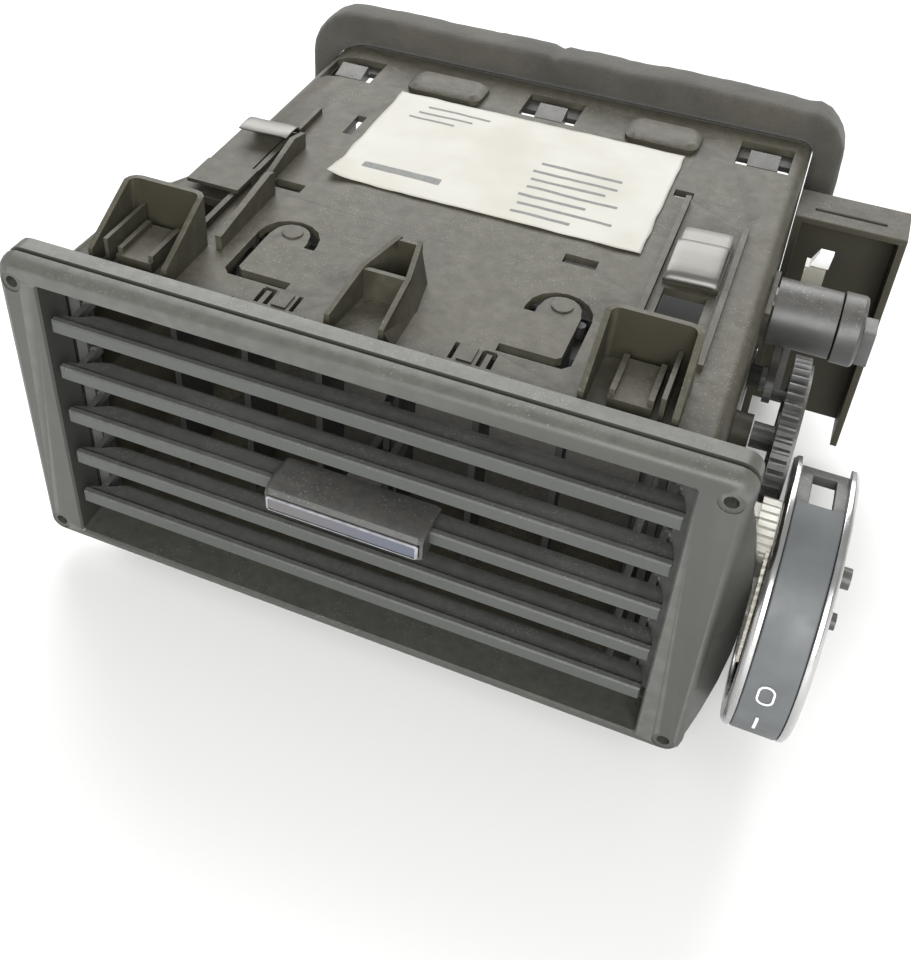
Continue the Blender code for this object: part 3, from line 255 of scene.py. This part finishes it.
def steel_look():
    """Bare spring steel with rolling marks along the strip."""
    look = Shader("spring_steel", linear(114, 113, 110), 0.46, 1.0)
    drawn = look.noise(160.0, 4.0, 0.6, (1.0, 22.0, 1.0))
    look.link(look.mix(drawn, linear(101, 100, 97), linear(127, 126, 122)), "Base Color")
    look.link(look.ramp(drawn, 0.2, 0.8, 0.4, 0.54), "Roughness")
    look.bump(drawn, 0.00004, 0.4)
    return look.material


def clear_look():
    """Clear plastic gone slightly yellow."""
    look = Shader("clear_plastic", linear(236, 232, 218), 0.14)
    look.link(look.ramp(look.noise(120.0, 3.0), 0.3, 0.7, 0.1, 0.24), "Roughness")
    tone = look.mix(look.noise(60.0, 3.0), linear(214, 210, 194), linear(242, 240, 230))
    look.link(tone, "Base Color")
    return look.set(Transmission_Weight=0.62, IOR=1.49, Specular_IOR_Level=0.6).material


def rubber_look():
    """Soft grey rubber, scuffed in patches."""
    look = Shader("soft_grip", linear(98, 101, 103), 0.55)
    scuffs = look.ramp(look.noise(70.0, 5.0), 0.3, 0.75)
    tone = look.mix(scuffs, linear(78, 81, 82), linear(92, 95, 96))
    look.link(tone, "Base Color")
    look.link(look.ramp(look.noise(110.0, 4.0), 0.3, 0.7, 0.45, 0.66), "Roughness")
    look.bump(look.noise(2600.0, 2.0), 0.00004, 0.45)
    return look.material


def paper_look():
    """Off-white paper, yellowed in patches."""
    look = Shader("label_paper", linear(184, 183, 175), 0.6)
    yellowed = look.ramp(look.noise(38.0, 4.0), 0.3, 0.8)
    tone = look.mix(yellowed, linear(186, 185, 178), linear(172, 169, 158))
    look.link(tone, "Base Color")
    look.bump(look.noise(500.0, 3.0), 0.00004, 0.4)
    return look.material


def ink_look():
    """Uneven grey print."""
    look = Shader("label_print", linear(126, 128, 126), 0.6)
    tone = look.mix(look.noise(900.0, 3.0), linear(84, 86, 86), linear(126, 127, 124))
    look.link(tone, "Base Color")
    return look.material


def white_look():
    """The white marks on the wheel and the white tip of the clear pin."""
    look = Shader("white_print", linear(232, 232, 230), 0.5)
    tone = look.mix(look.noise(400.0, 3.0), linear(214, 215, 214), linear(240, 240, 239))
    look.link(tone, "Base Color")
    return look.material


def rim_look():
    """The bright edge of the clear face on the knob."""
    look = Shader("clear_edge", linear(136, 138, 140), 0.2)
    patches = look.ramp(look.noise(420.0, 3.0), 0.3, 0.8)
    tone = look.mix(patches, linear(146, 147, 150), linear(112, 113, 116))
    return look.link(tone, "Base Color").set(Coat_Weight=0.5, Coat_Roughness=0.12).material


def insert_look():
    """Silvered plastic behind a clear face, bluer towards the right."""
    look = Shader("silvered_insert", linear(96, 96, 104), 0.36, 0.2)
    split = look.tree.nodes.new("ShaderNodeSeparateXYZ")
    look.tree.links.new(look.place, split.inputs[0])
    along = look.ramp(split.outputs["X"], -0.03, 0.012)
    look.link(look.mix(along, linear(96, 93, 93), linear(84, 89, 104)), "Base Color")
    look.link(look.ramp(look.noise(200.0, 3.0), 0.3, 0.7, 0.32, 0.42), "Roughness")
    return look.set(Coat_Weight=0.3, Coat_Roughness=0.2).material


LOOKS = {
    "bezel_plastic": moulded("bezel_plastic", linear(63, 64, 60), 0.4, 2600.0, 0.14, 0.42),
    "vane_plastic": moulded("vane_plastic", linear(67, 69, 67), 0.5, 2400.0, 0.16, 0.42),
    "housing_plastic": moulded("housing_plastic", linear(51, 49, 39), 0.46, 1500.0, 0.13, 0.24),
    "dark_plastic": moulded("dark_plastic", linear(62, 62, 61), 0.38, 1800.0, 0.18, 0.45),
    "foam": foam_look(),
    "chrome": chrome_look(),
    "spring_steel": steel_look(),
    "clear_plastic": clear_look(),
    "grip_rubber": rubber_look(),
    "label_paper": paper_look(),
    "white_plastic": white_look(),
    "insert_plastic": insert_look(),
}
INK = ink_look()
RIM = rim_look()


def dress(obj, slot):
    """Gives an object the look of one of the record's material slots."""
    obj.data.materials.clear()
    obj.data.materials.append(LOOKS[slot])


def placed(name, data):
    """A new object in the scene."""
    obj = bpy.data.objects.new(name, data)
    bpy.context.scene.collection.objects.link(obj)
    return obj


# ---------------------------------------------------------------- pieces from CAD nodes


EDGE_WIDTH = 0.25
EDGE_ANGLE = math.radians(34)
WELD_DISTANCE = 2e-6


def refined(node):
    """A copy of a CAD node with welded, rounded edges, standing for it."""
    mesh = frame["nodes"][node].data.copy()
    mesh.name = node + "_moulded"
    work = bmesh.new()
    work.from_mesh(mesh)
    bmesh.ops.remove_doubles(work, verts=work.verts, dist=WELD_DISTANCE)
    work.to_mesh(mesh)
    work.free()
    piece = placed(node + "_moulded", mesh)
    bevel = piece.modifiers.new("edge", "BEVEL")
    bevel.width = EDGE_WIDTH * MM
    bevel.segments = 2
    bevel.limit_method = "ANGLE"
    bevel.angle_limit = EDGE_ANGLE
    bevel.use_clamp_overlap = True
    bevel.miter_outer = "MITER_ARC"
    mesh.shade_smooth()
    mesh.set_sharp_from_angle(angle=EDGE_ANGLE)
    weighted = piece.modifiers.new("flats", "WEIGHTED_NORMAL")
    weighted.keep_sharp = False
    weighted.weight = 100
    dress(piece, SLOT_OF[node])
    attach(piece, BODY_OF[node])
    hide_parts(node)


for node_name, node_object in frame["nodes"].items():
    dress(node_object, SLOT_OF[node_name])

IN_DUCT = [f"vertical_vane_{i}" for i in range(1, 8)] + ["shutoff_flap", "vane_link"]
# Painted shade: the vanes, flap and link deep in the duct get a much darker copy of the plastic,
# standing for the shade that falls there.
DUCT_PAINTED_SHADE = painted_shade_look("duct_painted_shade", linear(26, 26, 25))
for node_name in IN_DUCT:
    frame["nodes"][node_name].data.materials[0] = DUCT_PAINTED_SHADE

ROUNDED = [
    "housing_upper",
    "front_bezel",
    "side_bracket",
    "drive_gear",
    "slider_knob",
    "rear_collar",
    "lamp_holder",
    "lamp_cap",
    "lamp_plug",
    "thumbwheel_drum",
    "thumbwheel_plate",
    "chrome_ring_left",
    "chrome_ring_right",
    "grip_band",
] + [f"horizontal_vane_{i}" for i in range(1, 6)]
for node_name in ROUNDED:
    refined(node_name)


# ---------------------------------------------------------------- pieces made here


def piece_from(name, points, faces, slot, body, *nodes):
    """A piece from points in the outlet's own millimetres, riding on a body, for any CAD nodes named."""
    mesh = bpy.data.meshes.new(name)
    mesh.from_pydata([shifted(*point) for point in points], [], faces)
    work = bmesh.new()
    work.from_mesh(mesh)
    bmesh.ops.recalc_face_normals(work, faces=work.faces)
    work.to_mesh(mesh)
    work.free()
    mesh.shade_smooth()
    piece = placed(name, mesh)
    dress(piece, slot)
    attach(piece, body)
    if nodes:
        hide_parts(*nodes)
    return piece


def ring_skin(loops):
    """Points and faces of a skin over loops of equal length, with the last loop joined to the first."""
    count = len(loops[0])
    points = [point for loop in loops for point in loop]
    faces = []
    for k in range(len(loops)):
        here = k * count
        there = (k + 1) % len(loops) * count
        for i in range(count):
            after = (i + 1) % count
            faces.append((here + i, here + after, there + after, there + i))
    return points, faces


def sheet_faces(rows, columns):
    """Faces of a sheet whose points run along each row in turn."""
    across = columns + 1
    corners = [j * across + i for j in range(rows) for i in range(columns)]
    return [(a, a + 1, a + across + 1, a + across) for a in corners]


def round_outline(low, high, radii, side_steps, corner_steps=6):
    """A rounded oblong anticlockwise from its low corner, with points along the sides too."""
    centres = [
        (low[0] + radii[0], low[1] + radii[0], math.pi),
        (high[0] - radii[1], low[1] + radii[1], 1.5 * math.pi),
        (high[0] - radii[2], high[1] - radii[2], 0.0),
        (low[0] + radii[3], high[1] - radii[3], 0.5 * math.pi),
    ]
    corners = []
    for (x, z, start), radius in zip(centres, radii):
        turns = [start + 0.5 * math.pi * i / corner_steps for i in range(corner_steps + 1)]
        corners.append([(x + radius * math.cos(t), z + radius * math.sin(t)) for t in turns])
    outline = []
    for i, corner in enumerate(corners):
        outline.extend(corner)
        start = Vector(corner[-1])
        end = Vector(corners[(i + 1) % 4][0])
        steps = side_steps[i]
        outline.extend(tuple(start.lerp(end, k / steps)) for k in range(1, steps))
    return outline


FOAM_OUTER = ((-75.3, -49.8), (84.8, 49.8), (14.0, 13.0, 13.0, 14.0))
FOAM_INNER = ((-69.3, -41.1), (76.3, 41.1), (14.3, 3.7, 3.7, 14.3))
FOAM_STEPS = (44, 26, 60, 26)
FOAM_Y = (139.3, 151.4)
BUTT_X = 1.0
BUTT_WIDTH = 0.9
CREASE_X = 71.0
CREASE_WIDTH = 2.2


def foam_lump(place):
    """The foam's slow unevenness at a point, with smaller dents on top of it."""
    return noise.noise(place * 0.09) * 0.5 + noise.noise(place * 0.4) * 0.22


def foam_ring():
    """The soft foam round the rear end, with rounded edges, a butt joint on top and a creased corner."""
    outer = round_outline(*FOAM_OUTER, FOAM_STEPS)
    inner = round_outline(*FOAM_INNER, FOAM_STEPS)
    front, rear = FOAM_Y
    section = [
        (0.0, front + 0.2),
        (0.25, front),
        (0.5, front - 0.05),
        (0.7, front + 0.05),
        (0.86, front + 0.4),
        (0.96, front + 1.3),
        (1.0, front + 2.6),
        (1.0, front + 4.6),
        (1.0, front + 6.4),
        (0.99, rear - 3.2),
        (0.95, rear - 1.5),
        (0.85, rear - 0.5),
        (0.6, rear),
        (0.2, rear),
    ]
    loops = []
    for blend, y in section:
        loop = []
        for (ox, oz), (ix, iz) in zip(outer, inner):
            x = ix + (ox - ix) * blend
            z = iz + (oz - iz) * blend
            lump = foam_lump(Vector((x, y, z)))
            sink = 0.0
            if z > 0.0:
                sink = 0.9 * math.exp(-(((x - BUTT_X) / BUTT_WIDTH) ** 2))
                sink += 0.8 * math.exp(-(((x - CREASE_X) / CREASE_WIDTH) ** 2))
            push = (lump - 0.45 - sink) * blend
            away = Vector((ox - ix, oz - iz)).normalized()
            loop.append((x + away.x * push, y + (0.35 * lump + 0.3) * blend, z + away.y * push))
        loops.append(loop)
    points, faces = ring_skin(loops)
    ring = piece_from("foam_ring", points, faces, "foam", "housing", "foam_seal")


LABEL_LEFT = -35.2
LABEL_FRONT = 67.8
LABEL_WIDTH = 80.8
LABEL_DEPTH = 48.8
LABEL_BED = 41.3
LABEL_COLUMNS = 90
LABEL_ROWS = 56
PAPER_THICKNESS = 0.00018


def label_height(x, y):
    """The label's height: small crinkles over its bed, and a corner that has come up."""
    crinkle = noise.noise(Vector((x * 0.09, y * 0.2, 0.0))) * 0.22
    crinkle += noise.noise(Vector((x * 0.3, y * 0.3, 4.0))) * 0.08
    corner = max(0.0, 1.0 - math.hypot(x + 35.0, y - 68.0) / 11.0) ** 2 * 1.5
    return LABEL_BED + max(0.0, crinkle + 0.12) + corner


def torn(place, at_edge):
    """How far a point of the label's edge strays from its straight line."""
    return noise.noise(Vector(place)) * 0.35 if at_edge else 0.0


def label_sheet():
    """The paper label, slightly crinkled and with uneven edges."""
    points = []
    for j in range(LABEL_ROWS + 1):
        for i in range(LABEL_COLUMNS + 1):
            x = LABEL_LEFT + LABEL_WIDTH * i / LABEL_COLUMNS
            y = LABEL_FRONT + LABEL_DEPTH * j / LABEL_ROWS
            edge_x = torn((y * 0.16, 2.0, 0.0), i in (0, LABEL_COLUMNS))
            edge_y = torn((x * 0.14, 7.0, 0.0), j in (0, LABEL_ROWS))
            points.append((x + edge_x, y + edge_y, label_height(x, y)))
    faces = sheet_faces(LABEL_ROWS, LABEL_COLUMNS)
    sheet = piece_from("label_sheet", points, faces, "label_paper", "housing", "label")
    thick = sheet.modifiers.new("paper", "SOLIDIFY")
    thick.thickness = PAPER_THICKNESS
    thick.offset = -1.0


KNOB_MIDDLE = 2.0


def face_outline(half_width, half_height, radius):
    """A rounded oblong round the middle of the knob's face."""
    low = (KNOB_MIDDLE - half_width, -half_height)
    high = (KNOB_MIDDLE + half_width, half_height)
    return round_outline(low, high, (radius,) * 4, (30, 4, 30, 4), 3)


def knob_rim():
    """The thin clear frame round the knob's silvered face."""
    outer = face_outline(18.45, 2.05, 0.6)
    inner = face_outline(17.8, 1.8, 0.35)
    loops = []
    for outline, y in ((outer, -3.1), (outer, -3.55), (inner, -3.95), (inner, -3.6)):
        loops.append([(x, y, z) for x, z in outline])
    points, faces = ring_skin(loops)
    rim = piece_from("knob_rim", points, faces, "clear_plastic", "knob")
    rim.data.materials[0] = RIM


# Each strip's side view, as Y and Z from its rear end to its front end.
RIGHT_CLIP = [
    (81.0, 43.3),
    (78.5, 43.35),
    (75.5, 43.4),
    (73.2, 43.5),
    (72.4, 43.9),
    (72.0, 44.9),
    (71.6, 45.8),
    (70.8, 46.2),
    (69.6, 46.25),
    (66.5, 45.9),
    (62.5, 45.3),
    (60.0, 44.9),
    (58.9, 44.5),
    (58.4, 43.9),
    (58.2, 43.3),
]
LEFT_CLIP = [
    (80.2, 42.9),
    (79.4, 43.5),
    (79.0, 44.7),
    (78.2, 45.6),
    (76.8, 46.0),
    (74.0, 46.1),
    (71.6, 45.8),
]
CLIP_MIDDLE = 59.0
CLIP_STATIONS = 11
CLIP_THICKNESS = 0.0005
CLIP_EDGE = 0.00012


def clip_sheet(side, path):
    """A bent strip of spring steel. The left one is wider and flares at its outer end."""
    points = []
    for y, z in path:
        for k in range(CLIP_STATIONS):
            t = 2.0 * k / (CLIP_STATIONS - 1) - 1.0
            x = CLIP_MIDDLE + 5.8 * t
            curl = -0.25 * max(0.0, abs(t) - 0.75) / 0.25
            if side < 0:
                x = 55.4 + 6.6 * t
                curl += 1.1 * max(0.0, t - 0.4) ** 2
            points.append((side * x, y + 0.08 * (x - CLIP_MIDDLE) * side, z + curl))
    faces = sheet_faces(len(path) - 1, CLIP_STATIONS - 1)
    name = "clip_sheet_right" if side > 0 else "clip_sheet_left"
    node = "spring_clip_right" if side > 0 else "spring_clip_left"
    sheet = piece_from(name, points, faces, "spring_steel", "housing", node)
    thick = sheet.modifiers.new("steel", "SOLIDIFY")
    thick.thickness = CLIP_THICKNESS
    thick.offset = 0.0
    bevel = sheet.modifiers.new("edge", "BEVEL")
    bevel.width = CLIP_EDGE
    bevel.segments = 2
    bevel.limit_method = "ANGLE"
    bevel.angle_limit = math.radians(50)


BAR_STEPS = 14
PRINT_LIFT = 0.06


def printed_bars():
    """Plain grey bars on the label, each as its left, right, front and height across."""
    bars = []
    for row in range(7):
        start = 12.0 + 0.6 * math.sin(row * 2.3)
        length = 15.0 + 9.0 * abs(math.sin(row * 1.7))
        bars.append((start, start + length, 71.6 + row * 4.0, 1.0))
    bars.append((-29.0, -8.0, 75.0, 2.6))
    for row in range(3):
        bars.append((-28.0 + row * 1.5, -15.0 + row * 4.0, 104.0 + row * 3.4, 0.8))
    points = []
    faces = []
    for x_low, x_high, y, height in bars:
        base = len(points)
        for k in range(BAR_STEPS + 1):
            x = x_low + (x_high - x_low) * k / BAR_STEPS
            for place in (y, y + height):
                points.append((x, place, label_height(x, place) + PRINT_LIFT))
        for k in range(BAR_STEPS):
            a = base + 2 * k
            faces.append((a, a + 2, a + 3, a + 1))
    bar_piece = piece_from("label_bars", points, faces, "label_paper", "housing")
    bar_piece.data.materials[0] = INK


foam_ring()
label_sheet()
knob_rim()
printed_bars()
clip_sheet(-1, LEFT_CLIP)
clip_sheet(1, RIGHT_CLIP)


# ---------------------------------------------------------------- floor, light and camera


FLOOR_REACH = 4.0
FLOOR_DROP = 0.0002


def floor():
    """A plain pale floor just under the outlet."""
    mesh = bpy.data.meshes.new("floor")
    signs = ((-1, -1), (1, -1), (1, 1), (-1, 1))
    corners = [(FLOOR_REACH * x, FLOOR_REACH * y, 0.0) for x, y in signs]
    mesh.from_pydata(corners, [], [(0, 1, 2, 3)])
    plane = placed("floor", mesh)
    plane.location.z = -FLOOR_DROP
    look = Shader("pale_floor", (0.86, 0.86, 0.85), 0.9)
    look.link(look.mix(look.noise(3.0, 2.0), (0.85, 0.85, 0.845), (0.87, 0.87, 0.86)), "Base Color")
    plane.data.materials.append(look.material)


def area_light(name, place, aim, size, power):
    """A wide soft light at a place, facing the point it is aimed at."""
    lamp = bpy.data.lights.new(name, "AREA")
    lamp.shape = "RECTANGLE"
    lamp.size, lamp.size_y = size
    lamp.energy = power
    holder = placed(name, lamp)
    holder.location = place
    holder.rotation_euler = (Vector(aim) - Vector(place)).to_track_quat("-Z", "Y").to_euler()


def lights():
    """An even pale room, a large window behind and above, and a softer fill in front."""
    world = bpy.data.worlds.new("pale_room")
    world.use_nodes = True
    background = world.node_tree.nodes["Background"]
    background.inputs["Color"].default_value = (1.0, 1.0, 0.99, 1.0)
    background.inputs["Strength"].default_value = 0.48
    bpy.context.scene.world = world
    area_light("window", (-0.30, 0.95, 0.95), (0.0, 0.0, 0.06), (1.5, 0.9), 23.0)
    area_light("front_fill", (0.2, -1.0, 0.55), (0.0, -0.05, 0.05), (0.9, 0.7), 17.0)


VIEW_PLACE = (78.31, -164.22, 200.42)
SENSOR_WIDTH = 36.0


def camera():
    """The viewing place, in front of the outlet, above it and to its right."""
    right = Vector((0.92531, 0.37711, 0.03979))
    up = Vector((-0.26149, 0.55856, 0.78717))
    back = right.cross(up)
    lens = bpy.data.cameras.new("camera")
    lens.sensor_width = SENSOR_WIDTH
    lens.lens = 44.81
    lens.shift_x = 0.035
    lens.shift_y = -0.178
    lens.clip_start = 0.01
    lens.clip_end = 50.0
    holder = placed("camera", lens)
    turn = Matrix((right, up, back)).transposed().to_4x4()
    holder.matrix_world = Matrix.Translation(shifted(*VIEW_PLACE)) @ turn
    bpy.context.scene.camera = holder


floor()
lights()
camera()
bpy.context.scene.view_settings.view_transform = "Standard"

bpy.context.view_layer.update()
